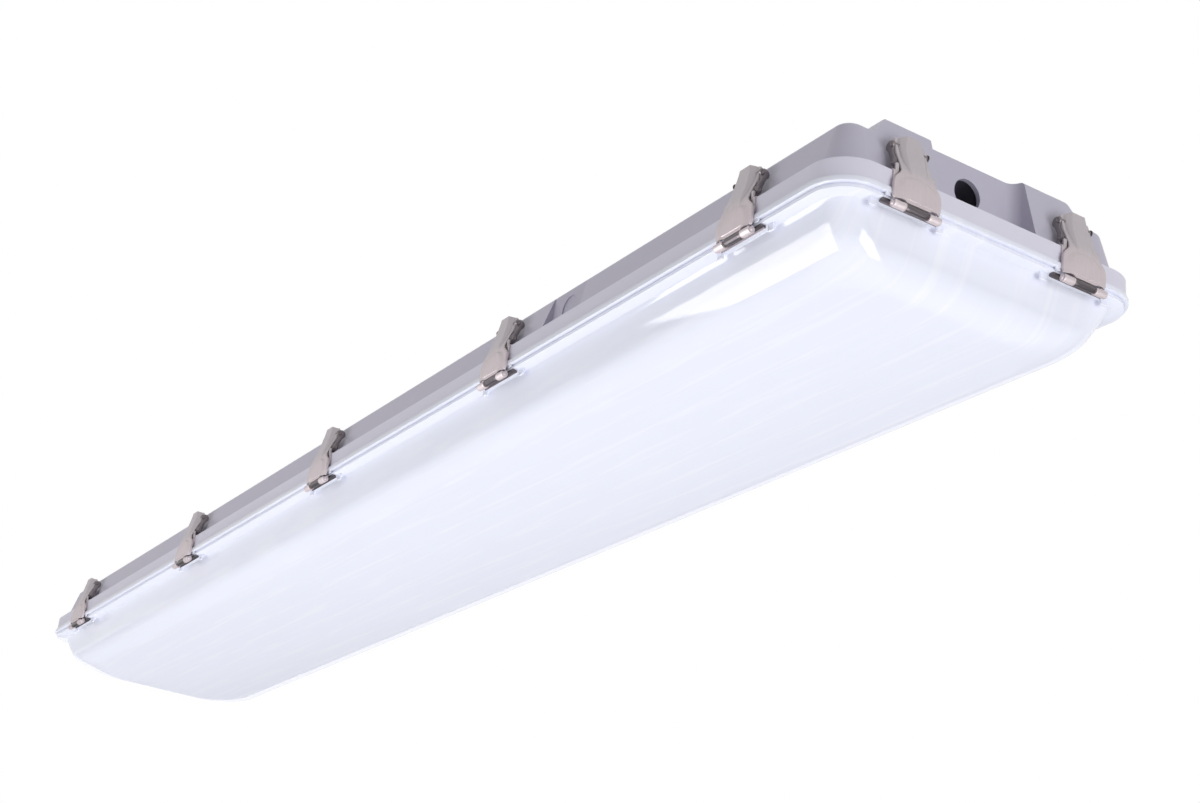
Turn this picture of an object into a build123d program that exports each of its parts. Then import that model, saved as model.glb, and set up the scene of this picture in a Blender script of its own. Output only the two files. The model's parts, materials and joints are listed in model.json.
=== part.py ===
"""Vapor tight light fixture: a sealed linear ceiling light with fourteen toggle latches.

Millimetres, +Z up. X runs along the fixture, and the origin is the middle of the
ceiling plane, on top of the two mounting brackets. The fixture hangs below it.
Heights are counted from the parting line, where the lens meets the housing.
"""
import os
from math import atan2, cos, degrees, hypot, radians, sin, tan

from build123d import *

os.makedirs("parts", exist_ok=True)

# Overall sizes of the lens flange, which is the widest thing in plan
overall_length = 1300.0
overall_width = 238.0
flange_corner = 27.0

# Heights above the parting line
rim_height = 11.5
shoulder_height = 44.0
deck_height = 58.5
bracket_rise = 4.0
bracket_sheet = 1.2

# Housing
rim_setback = 1.5
ledge_width = 7.0
wall = 3.0
tub_draft = 15.0
deck_side_draft = 35.0
deck_top_width = 142.0
deck_edge_radius = 4.0
shoulder_radius = 4.0
recess_width = 74.0
recess_depth = 28.0
recess_radius = 8.0
entry_radius = 10.2
entry_height = 38.5
knockout_radius = 10.0
knockout_depth = 1.0
pad_width = 40.0
pad_flare = 10.0
pad_from_latch = 64.0
pad_knockout_height = 28.0

# Gasket
gasket_width = 5.0
gasket_groove_depth = 4.5
seam = 0.5

# Lens
flange_upper = 3.5
flange_lower = 3.0
flange_step = 2.5
lens_inset = 10.0
lens_corner = 42.0
lens_drop = 38.0
lens_draft = 20.0
lens_edge_radius = 24.0
lens_wall = 2.5
lug_length = 5.0
lug_thickness = 1.6
lug_drop = 4.5
lug_inset = 6.0
lug_clearance = 1.0

# Latches
latches_per_side = 5
end_latch_inset = 94.0
side_latch_inset = 54.5
sheet = 1.2
play = 0.3
round_sides = 8
pin_radius = 1.5
pin_fit = 0.05
pin_sides = 6
base_pin_back = 3.5
base_pin_height = 19.5
top_pin_back = 5.0
top_pin_height = 32.0
claw_pin_out = 2.6
claw_pin_height = -10.6
lever_top_out = 0.5
lever_top_height = 38.0
lever_foot_out = 5.0
lever_foot_height = -8.2
lever_half_width = 17.0
neck_half_width = 6.3
neck_chamfer = 3.0
shoulder_top = 16.0
shoulder_foot = 4.5
ear_inside = 12.0
ear_margin = 3.2
ear_bulge = 5.3
knuckle_radius = 3.0
knuckle_width = 8.5
claw_barrel_radius = 2.4
claw_half_width = 21.0
claw_reach = 7.5
claw_tip = 1.5
base_half_width = 16.0
base_barrel_radius = 2.7
base_lap = 10.5

# Gear tray
tray_end_gap = 5.5
tray_side_gap = 18.5
tray_height = 22.0
tray_sheet = 1.0
tray_lip = 9.0
tray_lip_lean = 4.0
tray_rib = 4.0
tray_rib_half_width = 6.0
tray_posts_per_side = 2
tray_post_end_inset = 62.0
tray_post_side_inset = 8.0
tray_post_radius = 4.0
screw_radius = 1.6
screw_fit = 0.1
screw_length = 10.0
screw_head_radius = 3.4
screw_head_height = 1.8

# Light boards
board_end_inset = 4.0
board_width = 26.0
board_thickness = 1.6
board_gap = 4.0
board_offset = 40.0
leds_per_board = 10
led_end_inset = 8.0
led_length = 5.6
led_width = 3.0
led_height = 0.8
board_screws = 2
board_screw_inset = 15.0
board_screw_radius = 2.2
board_screw_height = 1.2

# Driver, terminal block and wiring
driver_length = 280.0
driver_width = 58.0
driver_height = 28.0
driver_place = 90.0
driver_corner = 3.0
driver_foot = 14.0
driver_foot_thickness = 1.5
driver_hole_radius = 2.2
driver_screw_radius = 3.4
driver_screw_height = 2.0
terminal_length = 22.0
terminal_width = 30.0
terminal_height = 14.0
terminal_inset = 112.0
terminal_ways = 3
terminal_way_radius = 2.2
terminal_way_depth = 6.0
wire_radius = 1.1
wire_pitch = 8.0
wire_height = 7.0
lead_run = 30.0
lead_exit = 20.0
lead_wire_radius = 1.6
lead_bend = 5.0
lead_height = 16.0
lead_hole_radius = 3.0
ground_inset = 67.0
ground_offset = 22.0
ground_head_radius = 4.0
ground_head_height = 3.0

# Ceiling brackets
bracket_width = 34.0
bracket_inset = 250.0
bracket_hole_radius = 3.25
bracket_hole_spacing = 90.0
bracket_seat = 9.0
bracket_leg = 9.5
bracket_hook = 1.5

# One cut length that clears every wall it goes through
overrun = 5.0

# Places worked out from the sizes above
part_z = -(deck_height + bracket_rise + bracket_sheet)
rim_length = overall_length - 2 * rim_setback
rim_width = overall_width - 2 * rim_setback
tub_length = rim_length - 2 * ledge_width
tub_width = rim_width - 2 * ledge_width
tub_corner = flange_corner - rim_setback - ledge_width
tub_slope = tan(radians(tub_draft))
shoulder_length = tub_length - 2 * (shoulder_height - rim_height) * tub_slope
shoulder_width = tub_width - 2 * (shoulder_height - rim_height) * tub_slope
recess_face = rim_length / 2 - recess_depth
latch_pitch = (overall_length - 2 * end_latch_inset) / (latches_per_side - 1)
end_latch_spacing = overall_width - 2 * side_latch_inset
pad_place = latch_pitch + pad_from_latch
bracket_spacing = overall_length - 2 * bracket_inset
tray_length = 2 * (recess_face - wall - tray_end_gap)
tray_half_width = tub_width / 2 - tray_side_gap
tray_post_spacing = tray_length - 2 * tray_post_end_inset
tray_post_offset = tray_half_width - tray_post_side_inset
board_length = (tray_length - board_gap) / 2 - board_end_inset
terminal_place = tray_length / 2 - terminal_inset
ground_place = tray_length / 2 - ground_inset
pad_face = shoulder_width / 2
side_slope = tan(radians(deck_side_draft))


def level(height):
    """A level plane at a height above the parting line."""
    return Plane.XY.offset(part_z + height)


def below(height):
    """A level plane that looks down, at a height above the parting line."""
    return Plane(origin=(0, 0, part_z + height), x_dir=(1, 0, 0), z_dir=(0, 0, -1))


def centred(count, spacing):
    """Places on a line, evenly about zero."""
    return [(i - (count - 1) / 2) * spacing for i in range(count)]


def save(part, name):
    """Label a finished piece and write its STEP file."""
    part.label = name
    export_step(part, f"parts/{name}.step")


def tub_form(inset):
    """The drafted tub with its deck, end recesses and side pads, drawn in by the inset."""
    foot = rim_height if inset == 0 else 0
    roof = deck_height - inset
    shoulder = shoulder_height - inset
    deck_foot = shoulder_height - inset - shoulder_radius
    with BuildPart() as form:
        with BuildSketch(level(rim_height)):
            RectangleRounded(tub_length - 2 * inset, tub_width - 2 * inset, tub_corner - inset)
        extrude(amount=shoulder - rim_height, taper=tub_draft)
        if inset:
            with BuildSketch(level(foot)):
                RectangleRounded(tub_length - 2 * inset, tub_width - 2 * inset, tub_corner - inset)
            extrude(amount=rim_height - foot)
        if not inset:
            fillet(form.faces().sort_by(Axis.Z)[-1].edges(), radius=shoulder_radius)
        for height in (deck_foot, roof):
            with BuildSketch(level(height)):
                Rectangle(
                    tub_length - 2 * inset - 2 * (height - rim_height) * tub_slope,
                    deck_top_width - 2 * inset + 2 * (roof - height) * side_slope,
                )
        loft()
        if not inset:
            fillet(form.faces().sort_by(Axis.Z)[-1].edges(), radius=deck_edge_radius)
        with BuildSketch(level(foot)) as recess:
            for side in (-1, 1):
                with Locations((side * (recess_face - inset + recess_depth), 0)):
                    Rectangle(2 * recess_depth, recess_width + 2 * inset)
            if not inset:
                fillet(
                    recess.vertices().filter_by(lambda v: abs(v.X) < recess_face + wall),
                    radius=recess_radius,
                )
        extrude(amount=deck_height + overrun, mode=Mode.SUBTRACT)
        for side in (-1, 1):
            with BuildSketch(Plane.XZ.offset(side * (pad_face - inset))):
                with Locations((pad_place, part_z + foot)):
                    Trapezoid(
                        pad_width + pad_flare + 2 * inset,
                        shoulder_height - foot,
                        degrees(atan2(shoulder_height - foot, pad_flare / 2)),
                        align=(Align.CENTER, Align.MIN),
                    )
            extrude(amount=side * 2 * ledge_width, mode=Mode.SUBTRACT)
    return form.part


def rim_ring(centre_inset, width, bottom, height):
    """A ring that follows the rim, at an inset from the rim's outer face."""
    with BuildPart() as ring:
        with BuildSketch(level(bottom)):
            for edge, mode in ((-width / 2, Mode.ADD), (width / 2, Mode.SUBTRACT)):
                inset = centre_inset + edge
                RectangleRounded(
                    rim_length - 2 * inset,
                    rim_width - 2 * inset,
                    flange_corner - rim_setback - inset,
                    mode=mode,
                )
        extrude(amount=height)
    return ring.part


# Ceiling strap, as a line along its inner face from the middle to the hook
strap_line = [
    (0, deck_height + bracket_rise),
    (deck_top_width / 2 - bracket_seat - bracket_rise, deck_height + bracket_rise),
    (deck_top_width / 2 - bracket_seat, deck_height),
    (deck_top_width / 2, deck_height),
    (deck_top_width / 2 + bracket_leg * side_slope, deck_height - bracket_leg),
    (deck_top_width / 2 + bracket_leg * side_slope - bracket_hook, deck_height - bracket_leg),
]
hook_place, hook_height = strap_line[-1]
gasket_inset = (ledge_width + wall) / 2
knockout_places = [
    Plane(origin=(-recess_face, 0, part_z + entry_height), z_dir=(-1, 0, 0)),
    Plane(origin=(pad_place, -pad_face, part_z + pad_knockout_height), z_dir=(0, -1, 0)),
    Plane(origin=(pad_place, pad_face, part_z + pad_knockout_height), z_dir=(0, 1, 0)),
]
post_places = [
    (x, y)
    for x in centred(tray_posts_per_side, tray_post_spacing)
    for y in (-tray_post_offset, tray_post_offset)
]

# Housing, one moulding: rim, drafted tub, deck, cable entry, knockouts and tray posts
with BuildPart() as housing:
    with BuildSketch(level(0)):
        RectangleRounded(rim_length, rim_width, flange_corner - rim_setback)
    extrude(amount=rim_height)
    add(tub_form(0))
    add(tub_form(wall), mode=Mode.SUBTRACT)
    add(rim_ring(gasket_inset, gasket_width, 0, gasket_groove_depth), mode=Mode.SUBTRACT)
    with BuildSketch(Plane(origin=(recess_face, 0, part_z + entry_height), z_dir=(1, 0, 0))):
        Circle(entry_radius)
    extrude(amount=wall + overrun, both=True, mode=Mode.SUBTRACT)
    for place in knockout_places:
        with BuildSketch(place):
            Circle(knockout_radius)
        extrude(amount=-knockout_depth, mode=Mode.SUBTRACT)
    for start in centred(2, bracket_spacing):
        with BuildSketch(Plane.YZ.offset(start - bracket_width / 2 - play)):
            for side, edge in ((-1, Align.MAX), (1, Align.MIN)):
                with Locations((side * (hook_place - play), part_z + hook_height + play)):
                    Rectangle(
                        bracket_hook + overrun,
                        bracket_sheet + 2 * play,
                        align=(edge, Align.MAX),
                    )
        extrude(amount=bracket_width + 2 * play, mode=Mode.SUBTRACT)
    with BuildPart(mode=Mode.PRIVATE) as posts:
        with BuildSketch(level(tray_height + tray_sheet)):
            with Locations(*post_places):
                RegularPolygon(tray_post_radius, round_sides)
        extrude(amount=deck_height)
        add(tub_form(wall / 2), mode=Mode.INTERSECT)
    add(posts.part)
    with BuildSketch(level(tray_height + tray_sheet)):
        with Locations(*post_places):
            RegularPolygon(screw_radius, round_sides)
    extrude(amount=screw_length, mode=Mode.SUBTRACT)
save(housing.part, "housing")

gasket = rim_ring(gasket_inset, gasket_width, -seam, gasket_groove_depth + seam)
save(gasket, "gasket")


def lens_form(inset):
    """The lens body below its flange, drawn in by the inset."""
    with BuildPart() as form:
        with BuildSketch(below(-seam - flange_upper)):
            RectangleRounded(
                overall_length - 2 * lens_inset - 2 * inset,
                overall_width - 2 * lens_inset - 2 * inset,
                lens_corner - inset,
            )
        extrude(amount=lens_drop - inset, taper=lens_draft)
        fillet(form.faces().sort_by(Axis.Z)[0].edges(), radius=lens_edge_radius - inset)
    return form.part


# Latch stations: x, y and the turn that points each latch outwards
latch_stations = []
for x in centred(latches_per_side, latch_pitch):
    latch_stations.append((x, -rim_width / 2, 0))
    latch_stations.append((x, rim_width / 2, 180))
for y in (-end_latch_spacing / 2, end_latch_spacing / 2):
    latch_stations.append((rim_length / 2, y, 90))
    latch_stations.append((-rim_length / 2, y, -90))
latch_stations.sort(key=lambda s: (s[2], s[0], s[1]))


def station(place):
    """The location of one latch, with its own X along the rim and -Y outwards."""
    x, y, turn = place
    return Location((x, y, part_z), (0, 0, turn))


# Lens with its two-step flange and a pair of locating lugs at each latch
lug_place = claw_half_width + lug_clearance + lug_length / 2
with BuildPart() as lens:
    with BuildSketch(below(-seam)):
        RectangleRounded(overall_length, overall_width, flange_corner)
    extrude(amount=flange_upper)
    with BuildSketch(below(-seam - flange_upper)):
        RectangleRounded(
            overall_length - 2 * flange_step,
            overall_width - 2 * flange_step,
            flange_corner - flange_step,
        )
    extrude(amount=flange_lower)
    add(lens_form(0))
    with BuildSketch(below(-seam)):
        RectangleRounded(
            overall_length - 2 * lens_inset - 2 * lens_wall,
            overall_width - 2 * lens_inset - 2 * lens_wall,
            lens_corner - lens_wall,
        )
    extrude(amount=flange_upper, mode=Mode.SUBTRACT)
    add(lens_form(lens_wall), mode=Mode.SUBTRACT)
    with Locations(*[station(place) for place in latch_stations]):
        with Locations(*[
            (side * lug_place, lug_inset, -seam - flange_upper - flange_lower)
            for side in (-1, 1)
        ]):
            Box(
                lug_length,
                lug_thickness,
                lug_drop,
                align=(Align.CENTER, Align.CENTER, Align.MAX),
            )
save(lens.part, "lens")


def pin(radius, sides, half_length, back, height):
    """A few-sided pin across the latch, at a place behind the rim face."""
    with BuildPart() as body:
        with BuildSketch(Plane.YZ.offset(-half_length)):
            with Locations((back, height)):
                RegularPolygon(radius, sides)
        extrude(amount=2 * half_length)
    return body.part


# Link: two ears with both pins swaged flush into them
ear_outline = [
    (base_pin_back - ear_margin, base_pin_height),
    (base_pin_back - ear_margin / 2, base_pin_height - ear_margin),
    (base_pin_back + ear_margin, base_pin_height - ear_margin),
    (top_pin_back + ear_bulge, top_pin_height),
    (top_pin_back + ear_margin / 2, top_pin_height + ear_margin),
    (top_pin_back - ear_margin, top_pin_height + ear_margin / 2),
]
with BuildPart() as link:
    for side in (-1, 1):
        with BuildSketch(Plane.YZ.offset(side * ear_inside)):
            with BuildLine():
                Polyline(*ear_outline, close=True)
            make_face()
        extrude(amount=side * sheet)
    add(pin(pin_radius, pin_sides, ear_inside, base_pin_back, base_pin_height))
    add(pin(pin_radius, pin_sides, ear_inside, top_pin_back, top_pin_height))

# Lever: a leaning plate with a narrow neck, whose folded sides carry the top pin
lever_lean = atan2(lever_foot_out - lever_top_out, lever_top_height - lever_foot_height)
plate_length = hypot(lever_foot_out - lever_top_out, lever_top_height - lever_foot_height)


def up_plate(height):
    """How far up the plate a height above the parting line lies."""
    return (height - lever_foot_height) / cos(lever_lean)


def plate_back(height):
    """How far behind the rim face the plate's outer face lies at a height."""
    return (height - lever_foot_height) * tan(lever_lean) - lever_foot_out


face_plane = Plane(
    origin=(0, -lever_foot_out, lever_foot_height),
    x_dir=(1, 0, 0),
    z_dir=(0, -cos(lever_lean), sin(lever_lean)),
)
tab_foot = up_plate(claw_pin_height)
tab_inner = lever_half_width - knuckle_width
half_outline = [
    (tab_inner, 0),
    (tab_inner, tab_foot),
    (lever_half_width, tab_foot),
    (lever_half_width, up_plate(shoulder_foot)),
    (neck_half_width, up_plate(shoulder_top)),
    (neck_half_width, plate_length - neck_chamfer),
    (neck_half_width - neck_chamfer, plate_length),
]
cheek_outline = [
    (plate_back(lever_top_height - neck_chamfer), lever_top_height - neck_chamfer),
    (top_pin_back, top_pin_height + ear_margin),
    (top_pin_back + ear_margin, top_pin_height),
    (base_pin_back, top_pin_height - base_barrel_radius - sheet),
    (base_pin_back - base_barrel_radius - play, base_pin_height + base_barrel_radius + play),
    (plate_back(shoulder_top) + sheet, shoulder_top),
    (plate_back(shoulder_top), shoulder_top),
]
knuckle_place = lever_half_width - knuckle_width / 2
with BuildPart() as lever:
    with BuildSketch(face_plane):
        with BuildLine():
            Polyline(*half_outline, *[(-x, y) for x, y in reversed(half_outline)], close=True)
        make_face()
    extrude(amount=-sheet)
    for side in (-1, 1):
        with BuildSketch(Plane.YZ.offset(side * neck_half_width)):
            with BuildLine():
                Polyline(*cheek_outline, close=True)
            make_face()
        extrude(amount=-side * sheet)
    add(
        pin(
            (pin_radius + pin_fit) / cos(radians(180 / pin_sides)),
            pin_sides,
            neck_half_width + sheet,
            top_pin_back,
            top_pin_height,
        ),
        mode=Mode.SUBTRACT,
    )
    for side in (-1, 1):
        with BuildSketch(Plane.YZ.offset(side * knuckle_place - knuckle_width / 2)):
            with Locations((-claw_pin_out, claw_pin_height)):
                RegularPolygon(knuckle_radius, round_sides)
        extrude(amount=knuckle_width)
    add(pin(pin_radius, pin_sides, knuckle_place, -claw_pin_out, claw_pin_height))

# Claw: a barrel on the lever's pin and a wide toe that lies under the lens flange
barrel_half_width = tab_inner - play
toe_top = -seam - flange_upper - flange_lower - play
toe_root = knuckle_radius + play - claw_pin_out
toe_outline = [
    (toe_root, toe_top),
    (claw_reach - claw_pin_out - claw_tip, toe_top),
    (claw_reach - claw_pin_out, toe_top - claw_tip),
    (claw_reach - claw_pin_out, toe_top - claw_tip - sheet),
    (claw_reach - claw_pin_out - claw_tip, toe_top - sheet),
    (toe_root, toe_top - sheet),
]
with BuildPart() as claw:
    with BuildSketch(Plane.YZ.offset(-barrel_half_width)):
        with Locations((-claw_pin_out, claw_pin_height)):
            RegularPolygon(claw_barrel_radius, round_sides)
        with Locations((-claw_pin_out, toe_top)):
            Rectangle(toe_root + claw_pin_out, sheet, align=(Align.MIN, Align.MAX))
    extrude(amount=2 * barrel_half_width)
    with BuildSketch(Plane.YZ.offset(-claw_half_width)):
        with BuildLine():
            Polyline(*toe_outline, close=True)
        make_face()
    extrude(amount=2 * claw_half_width)
    add(
        pin(
            (pin_radius + pin_fit) / cos(radians(180 / pin_sides)),
            pin_sides,
            lever_half_width,
            -claw_pin_out,
            claw_pin_height,
        ),
        mode=Mode.SUBTRACT,
    )

# Base clip: hooked over the rim's ledge, with a barrel for the base pin
base_plane = Plane.YZ.offset(-base_half_width)
base_barrel_half_width = ear_inside - play
with BuildPart() as base_clip:
    with BuildSketch(base_plane):
        with BuildLine():
            Polyline(
                (ledge_width - play, rim_height),
                (ledge_width - play, rim_height + sheet),
                (-sheet, rim_height + sheet),
                (-sheet, rim_height - base_lap),
                (0, rim_height - base_lap),
                (0, rim_height),
                close=True,
            )
        make_face()
    extrude(amount=2 * base_half_width)
    with BuildSketch(Plane.YZ.offset(-base_barrel_half_width)):
        with Locations((base_pin_back, base_pin_height)):
            RegularPolygon(base_barrel_radius, round_sides)
        with Locations((base_pin_back + base_barrel_radius - sheet / 2, rim_height)):
            Rectangle(
                sheet,
                base_pin_height - rim_height,
                align=(Align.CENTER, Align.MIN),
            )
        with Locations((base_pin_back, base_pin_height)):
            RegularPolygon(
                (pin_radius + pin_fit) / cos(radians(180 / pin_sides)),
                pin_sides,
                mode=Mode.SUBTRACT,
            )
    extrude(amount=2 * base_barrel_half_width)

base_clips = Compound(children=[base_clip.part.moved(station(p)) for p in latch_stations])
save(base_clips, "latch_base_clips")
for number, place in enumerate(latch_stations, start=1):
    for piece, name in ((link, "link"), (lever, "lever"), (claw, "claw")):
        save(piece.part.moved(station(place)), f"latch_{number:02d}_{name}")

# Gear tray: a folded white sheet that reflects the light and carries the boards
board_places = [
    (x, y)
    for x in centred(2, board_length + board_gap)
    for y in (-board_offset, board_offset)
]
driver_ends = [driver_place - driver_length / 2, driver_place + driver_length / 2]
driver_screw_places = [(x + side * driver_foot / 2, 0) for side, x in zip((-1, 1), driver_ends)]
lead_places = [(driver_ends[0] - lead_run, side * board_offset) for side in (-1, 1)]
tray_top = tray_height + tray_sheet
tray_section = [
    (tray_half_width + tray_lip_lean, tray_height + tray_lip),
    (tray_half_width, tray_height),
    (tray_rib_half_width + tray_rib, tray_height),
    (tray_rib_half_width, tray_height - tray_rib),
]
with BuildPart() as gear_tray:
    with BuildSketch(Plane.YZ.offset(-tray_length / 2)):
        with BuildLine():
            right = [(y, part_z + z) for y, z in tray_section]
            Polyline(*right, *[(-y, z) for y, z in reversed(right)])
            offset(amount=tray_sheet, side=Side.RIGHT, kind=Kind.INTERSECTION)
        make_face()
    extrude(amount=tray_length)
    for places, radius in (
        (post_places, screw_radius + screw_fit),
        (lead_places, lead_hole_radius),
    ):
        with BuildSketch(level(tray_height)):
            with Locations(*places):
                RegularPolygon(radius, round_sides)
        extrude(amount=overrun, both=True, mode=Mode.SUBTRACT)
save(gear_tray.part, "gear_tray")


def screws(places, seat, radius, head_height, shank, length, up=True):
    """Pan head screws with their shanks, as separate solids."""
    plane = level if up else below
    with BuildPart() as group:
        with BuildSketch(plane(seat)):
            with Locations(*[(x, y if up else -y) for x, y in places]):
                RegularPolygon(radius, round_sides)
        extrude(amount=head_height)
        if length:
            with BuildSketch(plane(seat)):
                with Locations(*[(x, y if up else -y) for x, y in places]):
                    RegularPolygon(shank, round_sides)
            extrude(amount=-length)
    return group.part


save(
    screws(
        post_places, tray_height, screw_head_radius, screw_head_height,
        screw_radius, screw_length, up=False,
    ),
    "tray_screws",
)

# Light boards, their screws and the light emitting packages on them
with BuildPart() as led_boards:
    with BuildSketch(below(tray_height)):
        with Locations(*board_places):
            Rectangle(board_length, board_width)
    extrude(amount=board_thickness)
save(led_boards.part, "led_boards")

led_pitch = (board_length - 2 * led_end_inset) / (leds_per_board - 1)
with BuildPart() as led_packages:
    with BuildSketch(below(tray_height - board_thickness)):
        with Locations(*[
            (x + step, y)
            for x, y in board_places
            for step in centred(leds_per_board, led_pitch)
        ]):
            Rectangle(led_length, led_width)
    extrude(amount=led_height)
save(led_packages.part, "led_packages")

board_screw_pitch = (board_length - 2 * board_screw_inset) / (board_screws - 1)
board_screw_places = [
    (x + step, y + (board_width / 2 - board_screw_radius) * (1 if y > 0 else -1))
    for x, y in board_places
    for step in centred(board_screws, board_screw_pitch)
]
save(
    screws(
        board_screw_places, tray_height - board_thickness, board_screw_radius,
        board_screw_height, board_screw_radius, 0, up=False,
    ),
    "board_screws",
)

# Driver with its two feet, on the ceiling side of the tray
with BuildPart() as led_driver:
    with BuildSketch(level(tray_top)) as driver_base:
        with Locations((driver_place, 0)):
            Rectangle(driver_length + 2 * driver_foot, driver_width)
        with Locations(*driver_screw_places):
            RegularPolygon(driver_hole_radius, round_sides, mode=Mode.SUBTRACT)
    extrude(amount=driver_foot_thickness)
    with BuildSketch(level(tray_top)):
        with Locations((driver_place, 0)):
            Rectangle(driver_length, driver_width)
    extrude(amount=driver_height)
    fillet(led_driver.faces().sort_by(Axis.Z)[-1].edges().filter_by(Axis.X), radius=driver_corner)
save(led_driver.part, "led_driver")

save(
    screws(
        driver_screw_places, tray_top + driver_foot_thickness, driver_screw_radius,
        driver_screw_height, screw_radius, driver_foot_thickness,
    ),
    "driver_screws",
)

# Terminal block for the supply, with its open ways towards the cable entry
with BuildPart() as terminal_block:
    with BuildSketch(level(tray_top)):
        with Locations((terminal_place, 0)):
            Rectangle(terminal_length, terminal_width)
    extrude(amount=terminal_height)
    with BuildSketch(Plane(
        origin=(terminal_place + terminal_length / 2, 0, part_z + tray_top + wire_height),
        x_dir=(0, 1, 0),
        z_dir=(1, 0, 0),
    )):
        with GridLocations(wire_pitch, 1, terminal_ways, 1):
            RegularPolygon(terminal_way_radius, round_sides)
    extrude(amount=-terminal_way_depth, mode=Mode.SUBTRACT)
save(terminal_block.part, "terminal_block")

# Wiring: supply leads straight from the terminal block to the driver, and a lead from the
# driver down through the tray to the back of each row of boards
with BuildPart() as wiring:
    with BuildSketch(Plane(
        origin=(driver_ends[1], 0, part_z + tray_top + wire_height),
        x_dir=(0, 1, 0),
        z_dir=(1, 0, 0),
    )):
        with GridLocations(wire_pitch, 1, terminal_ways, 1):
            RegularPolygon(wire_radius, pin_sides)
    extrude(amount=terminal_place - terminal_length / 2 - driver_ends[1])
    lead_start = (driver_ends[0], lead_exit, part_z + tray_top + lead_height)
    lead_x, lead_z = lead_places[0][0], lead_start[2]
    with BuildLine() as route:
        Polyline(
            lead_start,
            (lead_x + lead_bend, lead_exit, lead_z),
            (lead_x, lead_exit + lead_bend, lead_z),
            (lead_x, board_offset - lead_bend, lead_z),
            (lead_x, board_offset, lead_z - lead_bend),
            (lead_x, board_offset, part_z + tray_height),
        )
    with BuildSketch(Plane(origin=lead_start, z_dir=(-1, 0, 0))):
        RegularPolygon(lead_wire_radius, pin_sides)
    lead = sweep(path=route.wires()[0], transition=Transition.RIGHT)
    mirror(lead, about=Plane.XZ)
save(wiring.part, "wiring")

save(
    screws(
        [(ground_place, ground_offset)], tray_top, ground_head_radius, ground_head_height,
        screw_radius, 0,
    ),
    "ground_screw",
)

# Ceiling brackets: sprung straps over the deck, hooked under its sides
for side, name in ((-1, "mounting_bracket_left"), (1, "mounting_bracket_right")):
    with BuildPart() as bracket:
        start = side * bracket_spacing / 2 - bracket_width / 2
        with BuildSketch(Plane.YZ.offset(start)):
            with BuildLine():
                right = [(y, part_z + z) for y, z in strap_line]
                Polyline(*reversed(right), *[(-y, z) for y, z in right[1:]])
                offset(amount=bracket_sheet, side=Side.RIGHT, kind=Kind.INTERSECTION)
            make_face()
        extrude(amount=bracket_width)
        with BuildSketch(Plane.XY):
            with Locations(*[
                (side * bracket_spacing / 2, y) for y in centred(2, bracket_hole_spacing)
            ]):
                Circle(bracket_hole_radius)
        extrude(amount=-bracket_rise, mode=Mode.SUBTRACT)
    save(bracket.part, name)
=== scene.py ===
"""Vapor tight light fixture: shapes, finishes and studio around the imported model.

The file is laid out as a Blender add-on and is run as a script. A latch is drawn in
millimetres in its own frame, with X along the rim, Y back towards the housing and Z up
from the parting line. The lens is drawn in millimetres in the fixture's frame, with Z up
from the parting line too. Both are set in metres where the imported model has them.
"""
import json
from bisect import bisect
from math import cos, hypot, pi, radians, sin, sqrt, tan
from types import SimpleNamespace

import bmesh
import bpy
from mathutils import Matrix, Vector
from mathutils.interpolate import poly_3d_calc


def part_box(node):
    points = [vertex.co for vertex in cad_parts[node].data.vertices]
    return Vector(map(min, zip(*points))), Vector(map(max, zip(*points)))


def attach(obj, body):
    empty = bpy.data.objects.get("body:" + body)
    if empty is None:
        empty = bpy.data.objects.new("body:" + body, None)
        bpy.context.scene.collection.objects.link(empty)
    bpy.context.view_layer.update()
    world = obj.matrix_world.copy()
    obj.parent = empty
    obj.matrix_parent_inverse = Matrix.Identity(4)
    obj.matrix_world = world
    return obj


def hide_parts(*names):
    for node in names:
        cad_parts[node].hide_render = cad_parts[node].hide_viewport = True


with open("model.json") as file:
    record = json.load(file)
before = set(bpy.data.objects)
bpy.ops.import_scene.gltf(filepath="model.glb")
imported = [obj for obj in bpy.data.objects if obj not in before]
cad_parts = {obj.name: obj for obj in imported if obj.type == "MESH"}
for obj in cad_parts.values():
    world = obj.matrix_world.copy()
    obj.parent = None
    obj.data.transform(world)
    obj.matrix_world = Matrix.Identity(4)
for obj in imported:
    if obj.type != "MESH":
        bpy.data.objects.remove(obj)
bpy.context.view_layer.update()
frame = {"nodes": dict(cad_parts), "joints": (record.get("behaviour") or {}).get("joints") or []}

bl_info = {
    "name": "Vapor tight fixture",
    "version": (1, 0, 0),
    "blender": (4, 5, 0),
    "location": "3D View > Sidebar > Fixture",
    "description": "Latches, lens, finishes and studio of a vapor tight light fixture",
    "category": "Add Mesh",
}

MM = 0.001
JOINTS = {joint["name"]: joint for joint in frame["joints"]}
LATCHES = sorted(
    name.removesuffix("_link_hinge") for name in JOINTS if name.endswith("_link_hinge")
)

# Heights of the lens's flange from the parting line: its top, its ledge and its foot
FLANGE_TOP, FLANGE_LEDGE, FLANGE_FOOT = -0.5, -4.0, -7.0
PARTING_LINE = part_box("lens")[1].z - FLANGE_TOP * MM
LENS_HALF_LENGTH, LENS_HALF_WIDTH = (
    round(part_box("lens")[1][axis] / MM, 1) for axis in (0, 1)
)


def colour(name, text, default):
    """A colour property of one finish."""
    return bpy.props.FloatVectorProperty(
        name=name, description=text, default=default, size=3,
        subtype="COLOR", min=0.0, max=1.0,
    )


def length(name, text, default, largest):
    """A length property, whose default and limit are given in millimetres."""
    return bpy.props.FloatProperty(
        name=name, description=text, default=default * MM, min=0.0, max=largest * MM,
        precision=5, unit="LENGTH",
    )


def share(name, text, default, largest=1.0):
    """The strength of an effect."""
    return bpy.props.FloatProperty(
        name=name, description=text, default=default, min=0.0, max=largest, subtype="FACTOR",
    )


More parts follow.
